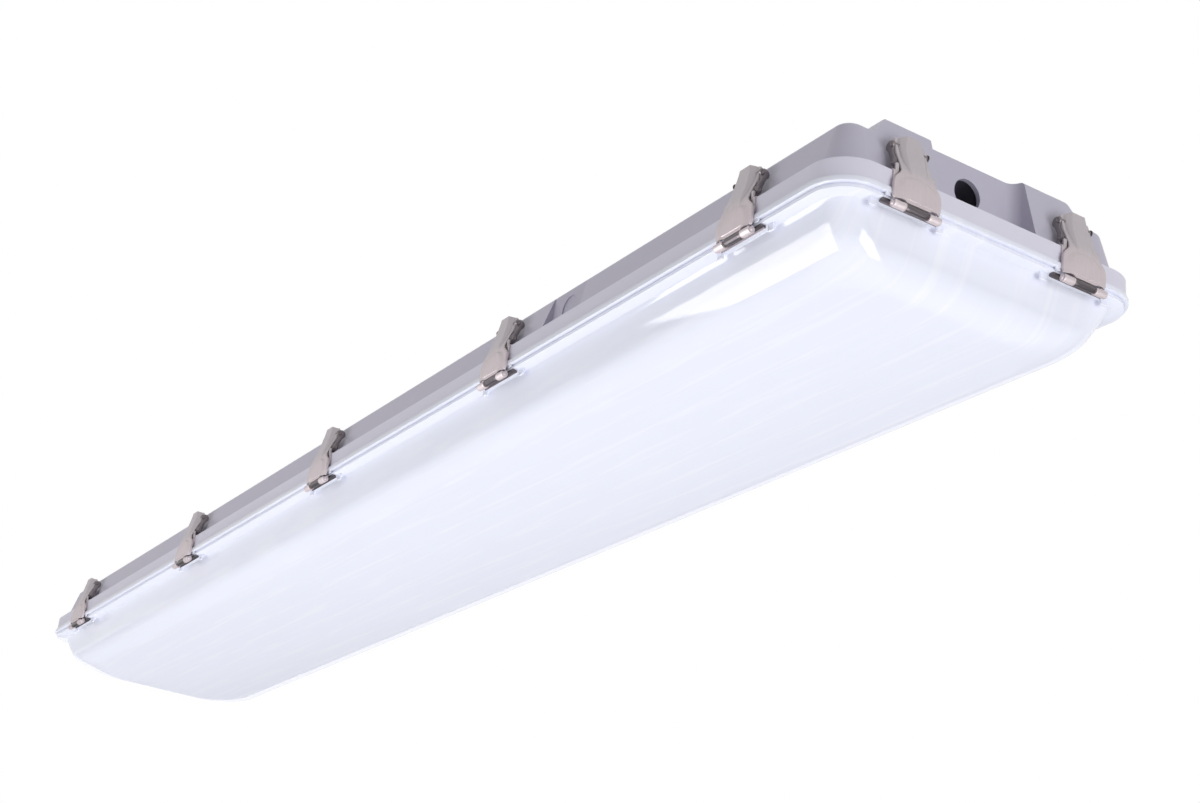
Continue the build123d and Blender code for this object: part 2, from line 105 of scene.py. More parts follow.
def power(name, text, default):
    """The power of a lamp in watts."""
    return bpy.props.FloatProperty(
        name=name, description=text, default=default, min=0.0, max=500.0, unit="POWER",
    )


class LatchSettings(bpy.types.PropertyGroup):
    """Sizes of the pressed latch parts."""

    sheet: length("Sheet", "Thickness of the stainless sheet", 1.2, 2.0)
    pad_step: length("Pad step", "How far the lever's pad stands out of its margin", 1.1, 1.5)
    edge: length("Edge", "Rounding of the cut edges", 0.18, 0.5)
    head_radius: length("Pin head", "Radius of the top pin's riveted heads", 2.2, 3.0)
    toe_half_width: length("Toe", "Half the width of the claw's toe", 21.0, 25.0)


class LensSettings(bpy.types.PropertyGroup):
    """Shape and finish of the frosted lens."""

    edge: length("Edge", "Rounding of the flange's edges", 0.6, 1.2)
    tint: colour("Tint", "Colour of the frosted lens", (0.85, 0.87, 0.985))
    line_pitch: length("Line pitch", "Spacing of the faint lines along the lens", 22.0, 30.0)
    line_depth: share("Line depth", "Strength of the faint lines' bump", 0.05)


class FinishSettings(bpy.types.PropertyGroup):
    """Colours of the other finishes."""

    housing: colour("Housing", "Moulded housing", (0.53, 0.505, 0.61))
    # Painted light: the rim is coloured lighter than the housing for the light that it gets from
    # below and off the lens flange
    rim: colour("Rim", "The housing's smoother rim", (0.75, 0.73, 0.84))
    steel: colour("Steel", "Latch levers and base clips", (0.51, 0.47, 0.495))
    # Painted light: the lower part of each latch, the lever's pad and the base clip, is coloured
    # lighter for the light that falls on it from below
    lit_lower_steel: colour("Polished steel", "Lower plates of the levers", (0.60, 0.53, 0.55))
    # Painted shade: the claws lie in shadow under the lens flange, and their steel is coloured dark
    # for it
    shaded_claw_tint: colour("Dark steel", "Latch claws", (0.13, 0.115, 0.125))
    # Painted shade: the links stand in the shadow between the lever and the rim, and their steel is
    # coloured dark for it
    link_steel: colour("Link steel", "Latch links", (0.22, 0.195, 0.205))
    gasket: colour("Gasket", "Foam gasket", (0.78, 0.78, 0.79))
    tray: colour("Tray", "Painted gear tray", (0.86, 0.87, 0.88))
    grain: share("Grain", "Strength of the moulded grain", 0.12)


class StageSettings(bpy.types.PropertyGroup):
    """Floor, lamps and background."""

    floor_height: bpy.props.FloatProperty(
        name="Floor height", description="Height of the floor, from the ceiling plane at 0",
        default=-1.6, max=-1.0, unit="LENGTH",
    )
    floor_tint: colour("Floor", "Pale floor", (0.86, 0.86, 0.87))
    daylight: share("Daylight", "Strength of the even light from all round", 0.30, 3.0)
    key: power("Key lamp", "Lamp beside the long side", 18.0)
    end: power("End lamp", "Lamp beyond the end", 17.0)
    under: power("Under lamp", "Lamp below the lens", 22.5)
    top: power("Top lamp", "Lamp above the housing", 20.0)
    panel: share("Panels", "Strength of the panels that the lens reflects", 6.0, 50.0)


class Net:
    """The nodes of one shader tree, added and wired in single calls."""

    def __init__(self, tree):
        self.tree = tree

    def add(self, kind, inputs=None, **settings):
        """Adds a node; an input's value is a number, a colour or another node's output."""
        made = self.tree.nodes.new(kind)
        for name, value in settings.items():
            setattr(made, name, value)
        for name, value in (inputs or {}).items():
            if isinstance(value, bpy.types.NodeSocket):
                self.tree.links.new(value, made.inputs[name])
            else:
                made.inputs[name].default_value = value
        return made

    def math(self, operation, *values):
        """The output of a Math node."""
        made = self.add("ShaderNodeMath", dict(enumerate(values)), operation=operation)
        return made.outputs[0]

    def ramp(self, value, low, high, largest=1.0, **settings):
        """A value brought from the range of low to high to that of 0 to the largest."""
        return self.add("ShaderNodeMapRange", {
            "Value": value, "From Min": low, "From Max": high, "To Max": largest,
        }, **settings).outputs[0]

    def blend(self, factor, first, second):
        """The colour output of a Mix node."""
        made = self.add("ShaderNodeMix", {0: factor, 6: first, 7: second}, data_type="RGBA")
        return made.outputs[2]

    def noise(self, place, scale, detail=4.0):
        """A noise value at a place."""
        return self.add(
            "ShaderNodeTexNoise", {"Vector": place, "Scale": scale, "Detail": detail},
        ).outputs["Fac"]

    def stretch(self, place, factors):
        """A place whose axes are scaled."""
        return self.add(
            "ShaderNodeVectorMath", {0: place, 1: factors}, operation="MULTIPLY",
        ).outputs[0]


DRESSED = "_dressed"
FLOAT, TINT = "NodeSocketFloat", "NodeSocketColor"
WHITE = (1.0, 1.0, 1.0, 1.0)
DUST_TINT = (0.82, 0.80, 0.77, 1.0)
FLECK_TINT = (0.30, 0.27, 0.25, 1.0)

# Noise values between which a speck fades in
SPECKS = (0.66, 0.76)

# A height under every piece, for a finish that has one colour only
NO_HEIGHT = -9.0
SHEET_INPUTS = [
    ("Colour", TINT, WHITE), ("Low Colour", TINT, WHITE), ("Low Height", FLOAT, NO_HEIGHT),
    ("Low Blend", FLOAT, MM), ("Roughness", FLOAT, 0.4), ("Variation", FLOAT, 0.1),
]
GRAINED_INPUTS = [*SHEET_INPUTS, ("Grain Scale", FLOAT, 900.0)]
GROUP_OUTPUTS = [("Colour", TINT), ("Roughness", FLOAT), ("Height", FLOAT)]


def finish_group(name, inputs, build):
    """A node group that gives a colour, a roughness and a height over the surface."""
    tree = bpy.data.node_groups.new(name, "ShaderNodeTree")
    for label, kind, default in inputs:
        socket = tree.interface.new_socket(label, in_out="INPUT", socket_type=kind)
        socket.default_value = default
    for label, kind in GROUP_OUTPUTS:
        tree.interface.new_socket(label, in_out="OUTPUT", socket_type=kind)
    net = Net(tree)
    given = net.add("NodeGroupInput").outputs
    place = net.add("ShaderNodeTexCoord").outputs["Object"]
    values = build(net, given, place)
    net.add("NodeGroupOutput", {label: value for (label, _), value in zip(GROUP_OUTPUTS, values)})
    return tree


def shade(net, given, value, level=1.0):
    """How light a place is: a level, more or less by the finish's variation."""
    least = net.math("SUBTRACT", level, net.math("MULTIPLY", given["Variation"], 0.5))
    return net.math("MULTIPLY_ADD", value, given["Variation"], least)


def toned(net, given, place, light):
    """The colour below a height or the one above it, with a soft edge, times a lightness."""
    above = net.ramp(
        net.add("ShaderNodeSeparateXYZ", {0: place}).outputs[2],
        net.math("SUBTRACT", given["Low Height"], given["Low Blend"]),
        net.math("ADD", given["Low Height"], given["Low Blend"]),
        interpolation_type="SMOOTHSTEP",
    )
    tint = net.blend(above, given["Low Colour"], given["Colour"])
    return net.add(
        "ShaderNodeVectorMath", {0: tint, "Scale": light}, operation="SCALE",
    ).outputs[0]


def rougher(net, given, value, most):
    """The finish's roughness, raised by a value's share of the most that it may add."""
    return net.math("ADD", given["Roughness"], net.math("MULTIPLY", value, most))


def moulded(net, given, place):
    """Moulded plastic: fine satin grain, soft flow marks and a little dust."""
    flow = net.noise(net.stretch(place, (1.0, 4.0, 4.0)), scale=6.0, detail=2.0)
    grain = net.noise(place, given["Grain Scale"], detail=3.0)
    dust = net.ramp(net.noise(place, scale=25.0, detail=8.0), *SPECKS, largest=0.10)
    tint = net.blend(dust, toned(net, given, place, shade(net, given, flow)), DUST_TINT)
    return tint, rougher(net, given, grain, 0.12), grain


def brushed(net, given, place):
    """Rolled stainless sheet: long fine streaks, smudges and darker flecks."""
    streak = net.noise(net.stretch(place, (1.0, 1.0, 0.06)), scale=900.0, detail=3.0)
    smudge = net.noise(place, scale=60.0, detail=5.0)
    fleck = net.ramp(net.noise(place, scale=380.0, detail=2.0), *SPECKS, largest=0.18)
    level = net.math("MULTIPLY_ADD", smudge, 0.22, 0.89)
    steel = toned(net, given, place, shade(net, given, streak, level))
    tint = net.blend(fleck, steel, FLECK_TINT)
    return tint, rougher(net, given, smudge, 0.22), streak


def painted(net, given, place):
    """Powder coat and boards: orange peel with slight tone changes."""
    peel = net.noise(place, given["Grain Scale"], detail=2.0)
    cloud = net.noise(place, scale=9.0, detail=3.0)
    tint = toned(net, given, place, shade(net, given, cloud))
    return tint, rougher(net, given, cloud, 0.10), peel


def material_net(name):
    """The net of a new material that has no nodes yet."""
    made = bpy.data.materials.new(name + DRESSED)
    made.use_nodes = True
    made.node_tree.nodes.clear()
    return Net(made.node_tree)


def finish(name, group, tint, roughness, variation=0.1, grain=900.0, bump=0.1, relief=0.0002,
           low=None, low_height=NO_HEIGHT, low_blend=MM, **constants):
    """A material made of one finish group and a Principled shader."""
    net = material_net(name)
    look = net.add("ShaderNodeGroup", node_tree=group)
    for label, value in {
        "Colour": (*tint, 1.0), "Low Colour": (*(low or tint), 1.0), "Low Height": low_height,
        "Low Blend": low_blend, "Roughness": roughness, "Variation": variation,
        "Grain Scale": grain,
    }.items():
        if label in look.inputs:
            look.inputs[label].default_value = value
    bumped = net.add(
        "ShaderNodeBump",
        {"Height": look.outputs["Height"], "Strength": bump, "Distance": relief},
    )
    shader = net.add("ShaderNodeBsdfPrincipled", {
        "Base Color": look.outputs["Colour"], "Roughness": look.outputs["Roughness"],
        "Normal": bumped.outputs[0], **constants,
    })
    net.add("ShaderNodeOutputMaterial", {"Surface": shader.outputs[0]})


# Radians that Blender's wave texture turns through over one scaled metre
WAVE_TURN = 20.0


def lens_finish(look):
    """The frosted lens: milky, glossy outside, with faint lines along its length."""
    net = material_net("lens_frosted")
    place = net.add("ShaderNodeTexCoord").outputs["Object"]
    cloud = net.noise(net.stretch(place, (1.0, 3.0, 1.0)), scale=5.0, detail=2.0)
    bands = net.add("ShaderNodeTexWave", {
        "Vector": net.stretch(place, (0.0, 1.0, 0.0)), "Distortion": 0.0,
        "Scale": 2 * pi / (WAVE_TURN * look.line_pitch),
    }, bands_direction="Y").outputs["Fac"]
    broken = net.noise(net.stretch(place, (6.0, 120.0, 1.0)), scale=2.0, detail=3.0)
    line = net.math("MULTIPLY", bands, net.ramp(broken, 0.45, 0.65))
    duller = (*[value * 0.985 for value in look.tint], 1.0)
    milky = net.blend(net.ramp(cloud, 0.3, 0.7), duller, (*look.tint, 1.0))
    bumped = net.add(
        "ShaderNodeBump", {"Height": line, "Strength": look.line_depth, "Distance": 0.0002},
    )
    shader = net.add("ShaderNodeBsdfPrincipled", {
        "Base Color": net.blend(net.math("MULTIPLY", line, 0.25), milky, WHITE),
        "Roughness": net.math("MULTIPLY_ADD", cloud, 0.04, 0.03),
        "Normal": bumped.outputs[0], "IOR": 1.49,
    })
    net.add("ShaderNodeOutputMaterial", {"Surface": shader.outputs[0]})


def coat(obj, name):
    """Gives an object one of the finishes."""
    material = bpy.data.materials[name + DRESSED]
    for slot in obj.material_slots:
        slot.material = material
    if not obj.material_slots:
        obj.data.materials.append(material)


def added(name, data):
    """A new object, put into the scene."""
    obj = bpy.data.objects.new(name, data)
    bpy.context.scene.collection.objects.link(obj)
    return obj


def drawn(bm, name):
    """A new mesh of what a bmesh holds, which is freed."""
    mesh = bpy.data.meshes.new(name)
    bm.to_mesh(mesh)
    bm.free()
    return mesh


def shaped(bm, *modifiers):
    """The mesh of a bmesh after some modifiers."""
    mesh = drawn(bm, "shaping")
    holder = added("shaping", mesh)
    for kind, settings in modifiers:
        modifier = holder.modifiers.new(kind.title(), kind)
        for name, value in settings.items():
            setattr(modifier, name, value)
    ready = holder.evaluated_get(bpy.context.evaluated_depsgraph_get())
    result = bpy.data.meshes.new_from_object(ready)
    bpy.data.objects.remove(holder)
    bpy.data.meshes.remove(mesh)
    return result


def merged(name, meshes, sharp=40.0):
    """One mesh made of several, brought to metres and shaded smooth up to an angle."""
    bm = bmesh.new()
    for mesh in meshes:
        bm.from_mesh(mesh)
        bpy.data.meshes.remove(mesh)
    bmesh.ops.transform(bm, matrix=Matrix.Scale(MM, 4), verts=bm.verts)
    for face in bm.faces:
        face.smooth = True
    result = drawn(bm, name)
    result.set_sharp_from_angle(angle=radians(sharp))
    return result


def grid(rows):
    """A bmesh of faces between rows of points, all with the same number of points."""
    bm = bmesh.new()
    verts = [[bm.verts.new(point) for point in row] for row in rows]
    for lower, upper in zip(verts, verts[1:]):
        for i in range(len(lower) - 1):
            bm.faces.new((lower[i], lower[i + 1], upper[i + 1], upper[i]))
    return bm


def surface(name, rows):
    """An object that is one grid of faces."""
    return added(name, drawn(grid(rows), name))


def clamped(value):
    """A value held between 0 and 1."""
    return min(max(value, 0.0), 1.0)


def eased(value):
    """A value held between 0 and 1 that leaves both ends slowly."""
    value = clamped(value)
    return value * value * (3 - 2 * value)


def between(stations):
    """A function that reads smooth values between rows, by their first column."""
    keys, *columns = zip(*stations)

    def slope(column, i):
        before, after = max(i - 1, 0), min(i + 1, len(keys) - 1)
        return (column[after] - column[before]) / (keys[after] - keys[before])

    def read(at):
        i = min(max(bisect(keys, at) - 1, 0), len(keys) - 2)
        span = keys[i + 1] - keys[i]
        t = (at - keys[i]) / span
        return [
            (2 * t ** 3 - 3 * t ** 2 + 1) * column[i]
            + (t ** 3 - 2 * t ** 2 + t) * span * slope(column, i)
            + (3 * t ** 2 - 2 * t ** 3) * column[i + 1]
            + (t ** 3 - t ** 2) * span * slope(column, i + 1)
            for column in columns
        ]
    return read


def rounded(points, radius, steps):
    """A line with its inner corners rounded, the same number of points for each."""
    points = [Vector(point) for point in points]
    line = [points[0]]
    for before, corner, after in zip(points, points[1:], points[2:]):
        reach = min(radius, 0.45 * (before - corner).length, 0.45 * (after - corner).length)
        start = corner + (before - corner).normalized() * reach
        end = corner + (after - corner).normalized() * reach
        for i in range(steps + 1):
            t = i / steps
            line.append(start.lerp(corner, t).lerp(corner.lerp(end, t), t))
    return [*line, points[-1]]


def on_circle(centre, radius, angle):
    """A point on a circle in the latch's side view, the angle in degrees."""
    return centre[0] + radius * cos(radians(angle)), centre[1] + radius * sin(radians(angle))


def arc(centre, radius, start, end, steps):
    """Points on an arc in the latch's side view, angles in degrees."""
    return [
        on_circle(centre, radius, start + (end - start) * i / steps) for i in range(steps + 1)
    ]


def strip_columns(left, right, corner, steps=4):
    """Places across a strip, close together where its corners are rounded."""
    if not corner:
        return [left + (right - left) * i / 6 for i in range(7)]
    edge = [corner * (1 - cos(i / steps * pi / 2)) for i in range(steps)]
    middle = [left + corner + (right - left - 2 * corner) * i / 4 for i in range(5)]
    return [left + d for d in edge] + middle + [right - d for d in reversed(edge)]


def strip(path, left, right, corner=0.0):
    """A folded sheet: a line in the side view carried across, its end corners rounded."""
    path = [Vector(point) for point in path]
    first = (path[1] - path[0]).normalized()
    last = (path[-2] - path[-1]).normalized()
    columns = []
    for x in strip_columns(left, right, corner):
        near = min(x - left, right - x)
        cut = corner - sqrt(max(corner ** 2 - (corner - near) ** 2, 0)) if near < corner else 0
        line = [path[0] + first * cut, *path[1:-1], path[-1] + last * cut]
        columns.append([(x, *point) for point in line])
    return grid(columns)


def turned(profile, centre, sides=24):
    """A round piece about the latch's X axis from a profile of (x, radius)."""
    bm = bmesh.new()
    rings = [
        [bm.verts.new((x, *on_circle(centre, radius, 360 * i / sides))) for i in range(sides)]
        for x, radius in profile
    ]
    for low, high in zip(rings, rings[1:]):
        for i in range(sides):
            bm.faces.new((low[i], high[i], high[i - 1], low[i - 1]))
    bm.faces.new(rings[0])
    bm.faces.new(rings[-1][::-1])
    bmesh.ops.recalc_face_normals(bm, faces=bm.faces)
    return bm


def thick(sheet, edge, offset=0.0):
    """The modifiers that give a sheet its thickness and break its edges."""
    return (
        ("SOLIDIFY", {"thickness": sheet, "offset": offset, "use_even_offset": True}),
        ("BEVEL", {"width": edge, "segments": 2, "limit_method": "ANGLE",
                   "angle_limit": radians(55)}),
    )


def millimetres(settings):
    """The lengths of a group of settings, in the millimetres that shapes are drawn in."""
    names = type(settings).__annotations__
    return SimpleNamespace(**{name: getattr(settings, name) / MM for name in names})


# The base pin, as (back from the rim's side, height above the parting line)
BASE_PIN = (3.5, 19.5)


def station(name):
    """Where a latch stands: its origin, the way along the rim and the way back."""
    joint = JOINTS[f"{name}_link_hinge"]
    across = Vector(joint["axis"]).normalized()
    back = Vector((0, 0, 1)).cross(across)
    origin = Vector(joint["pos_m"]) - back * BASE_PIN[0] * MM - Vector((0, 0, BASE_PIN[1] * MM))
    return origin, across, back


def upright(across, back):
    """The turn from a latch's own axes to the fixture's."""
    return Matrix((across, back, Vector((0, 0, 1)))).transposed().to_4x4()


def pin(hinge):
    """Where another pin of a latch is, measured as the base pin is."""
    origin, _, back = station(LATCHES[0])
    away = (Vector(JOINTS[f"{LATCHES[0]}_{hinge}"]["pos_m"]) - origin) / MM
    return round(away.dot(back), 2), round(away.z, 2)


TOP_PIN, CLAW_PIN = pin("lever_hinge"), pin("claw_hinge")
PIN_RADIUS = 1.5

# The lever from its foot up. Each row has the height, half the width, where the sheet's
# middle face lies back from the rim's side, how deep the rib's wall is, half the rib's
# face, the wall's width and how far the side folds back
LEVER_SHAPE = between((
    (-8.2, 16.2, -5.0, 0.0, 4.6, 1.0, 1.6),
    (-6.0, 16.7, -5.0, 0.0, 4.6, 1.0, 2.1),
    (-2.0, 17.2, -5.0, 0.0, 4.6, 1.0, 2.2),
    (2.0, 17.2, -4.95, 0.0, 4.6, 1.0, 2.2),
    (5.0, 16.6, -4.8, 0.0, 4.6, 1.0, 2.1),
    (7.5, 15.1, -4.6, 0.0, 4.6, 1.0, 1.9),
    (9.5, 13.3, -4.4, 0.1, 4.6, 1.1, 1.6),
    (11.5, 12.0, -4.1, 0.4, 4.8, 1.2, 1.3),
    (14.0, 11.7, -3.6, 1.0, 5.4, 1.4, 1.1),
    (18.0, 11.7, -2.7, 1.7, 6.1, 1.8, 0.9),
    (21.0, 11.7, -1.9, 2.1, 6.4, 2.1, 0.8),
    (25.0, 11.7, -0.9, 2.7, 6.5, 2.5, 1.2),
    (29.0, 11.7, 0.0, 3.0, 6.3, 2.9, 2.2),
    (32.0, 11.7, 0.6, 3.2, 5.9, 3.2, 3.2),
    (35.0, 11.6, 1.1, 3.3, 5.5, 3.4, 2.4),
    (38.6, 11.2, 1.5, 3.4, 5.0, 3.6, 0.5),
))

# Heights of the mesh's rows up the lever, close together round the pad's edge
LEVER_ROWS = [
    -8.2, -7.6, -7.1, -6.6, -6.15, -5.95, -5.7, -5.4, -5.1, -4.8, -4.5, -4.2, -3.8, -3.0,
    -1.5, 0.0, 1.5, 2.5, 3.3, 4.1, 4.9, 5.5, 6.1, 6.7, 7.3, 7.9, 8.5, 9.1, 9.7, 10.4, 11.2, 12.0,
    13.0, 14.0, 15.0, 16.5, 18.0, 19.5, 21.0, 23.0, 25.0, 27.0, 29.0, 30.5, 32.0, 33.5, 35.0,
    36.2, 37.4, 38.2, 38.6,
]

# Places of the mesh's columns, as shares of the rib's face, of its wall and of the rest
FACE_COLUMNS = (0.0, 0.3, 0.55, 0.75, 0.88, 0.96)
WALL_COLUMNS = (0.05, 0.14, 0.32, 0.5, 0.68, 0.86, 1.0)
SIDE_COLUMNS = (0.12, 0.24, 0.38, 0.54, 0.70, 0.85, 1.0)

# The channel beside the rib: half its width, its depth, and how deep a rib gives it all
CHANNEL_REACH, CHANNEL_DEPTH, CHANNEL_RIB = 0.55, 0.9, 2.5

# The pad, a squarish round: half its width, its height above its widest place, the height
# of that place, how square it is and the share of its size over which its edge slopes
PAD_REACH, PAD_HEIGHT, PAD_FOOT, PAD_SQUARENESS, PAD_SLOPE = 14.2, 12.2, -3.2, 2.4, 0.18

# The margin round the pad ends at a height, and fades out over a length below it
MARGIN_TOP, MARGIN_FADE = 13.0, 5.0

# The small dent near each lower corner: its place, radius and depth
DENT_X, DENT_HEIGHT, DENT_RADIUS, DENT_DEPTH = 12.6, -5.2, 1.1, 0.6

# The foot: the middle tab between the knuckles is set back below a height, and the edge
# above each knuckle is raised to leave a seam
TAB_REACH, TAB_TOP, TAB_BACK = 8.4, -5.95, 0.55
SEAM_TOP, SEAM_FADE, SEAM_LIFT = -6.4, 1.8, 0.7

# The head's shoulders: how far the sides drop, from which height on and over what height
SHOULDER_DROP, SHOULDER_FOOT, SHOULDER_HEIGHT = 2.4, 31.0, 7.6

# The side's fold: its corner and how far its flank leans out
FOLD_CORNER, FOLD_LEAN = 0.5, 0.04

# The knuckles round the claw's pin: where each starts and ends, and their outer radius;
# the pin's rounded tip as (beyond the knuckle, radius)
KNUCKLE_START, KNUCKLE_END, KNUCKLE_RADIUS = 8.5, 17.0, 2.65
PIN_TIP = ((0.2, PIN_RADIUS), (0.6, 1.1), (0.7, 0.6))

# The lever's plate is drawn out to this share of the sheet's thickness
DRAWN_SHARE = 0.9


def lever_columns(width, crown, wall):
    """Places across half the lever, close together where the sheet bends."""
    out = crown + wall
    return (
        [crown * part for part in FACE_COLUMNS]
        + [crown + wall * part for part in WALL_COLUMNS]
        + [out + (width - out) * part for part in SIDE_COLUMNS]
    )


def pressed(x, height, depth, crown, wall, pad_step):
    """How far the pressed sheet stands behind its middle face at a place."""
    across = clamped((x - crown) / wall)
    back = depth * (0.85 * across + 0.15 * eased(across))
    channel = (x - crown - wall) / CHANNEL_REACH
    back += CHANNEL_DEPTH * min(depth / CHANNEL_RIB, 1.0) * max(1 - channel * channel, 0.0)
    inside = 1 - (x / PAD_REACH) ** PAD_SQUARENESS
    inside -= (max(height - PAD_FOOT, 0.0) / PAD_HEIGHT) ** PAD_SQUARENESS
    margin = 1 - eased(inside / PAD_SLOPE + 0.5)
    back += pad_step * margin * clamped((MARGIN_TOP - height) / MARGIN_FADE)
    dent = hypot(x - DENT_X, height - DENT_HEIGHT) / DENT_RADIUS
    return back + DENT_DEPTH * max(1 - dent * dent, 0.0) ** 2


def side_drop(x, height, width, crown):
    """How far a place of the lever lies below its row: its shoulders and its foot's seam."""
    drop = SHOULDER_DROP * clamped((x - crown) / (width - crown))
    drop *= max((height - SHOULDER_FOOT) / SHOULDER_HEIGHT, 0.0) ** 2
    if x > TAB_REACH:
        drop -= SEAM_LIFT * clamped((SEAM_TOP - height) / SEAM_FADE)
    return drop


def folded_side(point, fold):
    """The points that carry a row of the lever round its side's fold."""
    x, back, up = point
    corner = min(FOLD_CORNER, fold * 0.4)
    return [
        (x - corner * 0.3, back + corner * 0.3, up),
        (x, back + corner, up),
        (x + FOLD_LEAN, back + fold * 0.7, up),
        (x + FOLD_LEAN, back + fold, up),
    ]


def lever_row(height, pad_step):
    """The points of the lever at a height, from one folded side to the other."""
    width, face, depth, crown, wall, fold = LEVER_SHAPE(height)
    half = []
    for x in lever_columns(width, crown, wall):
        back = face + pressed(x, height, depth, crown, wall, pad_step)
        if height < TAB_TOP and x < TAB_REACH:
            back += TAB_BACK
        half.append((x, back, height - side_drop(x, height, width, crown)))
    half += folded_side(half.pop(), fold)
    return [(-x, back, up) for x, back, up in reversed(half[1:])] + half


def lever_mesh(sizes):
    """The lever: a pressed sheet with a ribbed neck, a pad and two rolled knuckles."""
    sheet = grid([lever_row(height, sizes.pad_step) for height in LEVER_ROWS])
    meshes = [shaped(sheet, *thick(sizes.sheet * DRAWN_SHARE, sizes.edge, -1.0))]
    roll = arc(CLAW_PIN, KNUCKLE_RADIUS - sizes.sheet / 2, 84, -214, 28)
    for left, right in ((-KNUCKLE_END, -KNUCKLE_START), (KNUCKLE_START, KNUCKLE_END)):
        meshes.append(shaped(strip(roll, left, right), *thick(sizes.sheet, sizes.edge)))
    tip = [(KNUCKLE_END + out, radius) for out, radius in PIN_TIP]
    profile = [(-x, radius) for x, radius in reversed(tip)] + tip
    meshes.append(shaped(turned(profile, CLAW_PIN)))
    return merged("lever", meshes)


# The link's ears: how far out each stands, the lobe's middle as (back, up) from the top
# pin, the radii, and the waist's points in front and behind
EAR_PLACE = 12.2
LOBE_OFFSET, LOBE_RADIUS, EAR_FOOT_RADIUS = (2.2, -0.6), 3.5, 2.5
WAIST_FRONT, WAIST_BACK = [(4.2, 26.6), (3.0, 24.2)], [(6.4, 22.6), (7.6, 25.6)]

# The pins' rivet heads: the base pin's radius, how far each stands out, the dimple's
# radius and its share of that, and the curve from it out, as shares of that and the radius
BASE_HEAD_RADIUS, TOP_HEAD_PROUD, BASE_HEAD_PROUD = 1.9, 0.8, 0.7
DIMPLE_RADIUS, DIMPLE_SHARE = 0.35, 0.75
HEAD_CURVE = ((0.80, 0.40), (1.0, 0.50), (0.92, 0.75), (0.55, 0.95))


def ear_line():
    """The outline of a link's ear: a wide lobe round the top pin, narrower at the base."""
    middle = (TOP_PIN[0] + LOBE_OFFSET[0], TOP_PIN[1] + LOBE_OFFSET[1])
    lobe = arc(middle, LOBE_RADIUS, -62, 205, 18)
    foot = arc(BASE_PIN, EAR_FOOT_RADIUS, 165, 370, 14)
    return lobe + WAIST_FRONT + foot + WAIST_BACK


def rivet_head(side, face, centre, radius, proud):
    """The riveted head at one end of a pin, on the ear's outer face."""
    curve = [(face + proud * DIMPLE_SHARE, DIMPLE_RADIUS)]
    curve += [(face + proud * out, radius * wide) for out, wide in HEAD_CURVE]
    curve.append((face - 0.1, radius))
    return shaped(turned([(side * x, wide) for x, wide in curve], centre))


def link_mesh(sizes):
    """The link: two ears with riveted pins through them."""
    meshes = []
    for side in (-1, 1):
        bm = bmesh.new()
        bm.faces.new([bm.verts.new((side * EAR_PLACE, *point)) for point in ear_line()])
        meshes.append(shaped(bm, *thick(sizes.sheet, sizes.edge)))
        face = EAR_PLACE + sizes.sheet / 2
        meshes += [
            rivet_head(side, face, TOP_PIN, sizes.head_radius, TOP_HEAD_PROUD),
            rivet_head(side, face, BASE_PIN, BASE_HEAD_RADIUS, BASE_HEAD_PROUD),
        ]
    shank = [(-EAR_PLACE, PIN_RADIUS), (EAR_PLACE, PIN_RADIUS)]
    meshes += [shaped(turned(shank, centre)) for centre in (TOP_PIN, BASE_PIN)]
    return merged("link", meshes)


# The claw: its sheet, half its barrel's width, the barrel's radius where the roll starts
# and where it has closed, and the steps in which it closes
CLAW_SHEET, CLAW_HALF_WIDTH = 0.9, 8.1
ROLL_START_RADIUS, ROLL_RADIUS, ROLL_STEPS, ROLL_CLOSING_STEPS = 2.1, 1.6, 24, 7

# Its tongue joins the barrel from behind, and its toe lies under the flange
TONGUE_RISE, TONGUE_ENDS = 2.35, (1.4, -0.6)
TOE_LINE, TOE_BEND, TOE_CORNER = [(0.7, -7.92), (3.6, -7.92), (4.6, -9.0)], 1.0, 0.8


def claw_mesh(sizes):
    """The claw: a barrel rolled round the lever's pin and a wide toe with a turned lip."""
    roll = []
    for i in range(ROLL_STEPS + 1):
        closed = min(i / ROLL_CLOSING_STEPS, 1.0)
        radius = ROLL_START_RADIUS * (1 - closed) + ROLL_RADIUS * closed
        roll.append(on_circle(CLAW_PIN, radius, 90 + 300 * i / ROLL_STEPS))
    tongue = [(back, CLAW_PIN[1] + TONGUE_RISE) for back in TONGUE_ENDS] + roll
    toe = rounded(TOE_LINE, TOE_BEND, 5)
    wide = sizes.toe_half_width
    return merged("claw", [
        shaped(strip(tongue, -CLAW_HALF_WIDTH, CLAW_HALF_WIDTH), *thick(CLAW_SHEET, sizes.edge)),
        shaped(strip(toe, -wide, wide, TOE_CORNER), *thick(sizes.sheet, sizes.edge)),
    ])


# The base clip: half its flap's width and its corners, the flap's foot and the rim's top
# as heights, how far back its shelf reaches and the bend between
FLAP_HALF_WIDTH, FLAP_CORNER, FLAP_FOOT, RIM_TOP = 16.0, 2.4, 1.0, 11.5
SHELF_END, SHELF_BEND = 6.7, 1.5

# Its barrel round the base pin, and its tabs: where each starts, its width and its corners
BARREL_RADIUS, BARREL_HALF_WIDTH = 2.7, 11.7
TAB_STARTS, TAB_WIDTH, TAB_CORNER, TAB_HEIGHTS = (-14.6, 12.2), 2.4, 0.8, (9.0, 12.0, 14.0, 16.6)


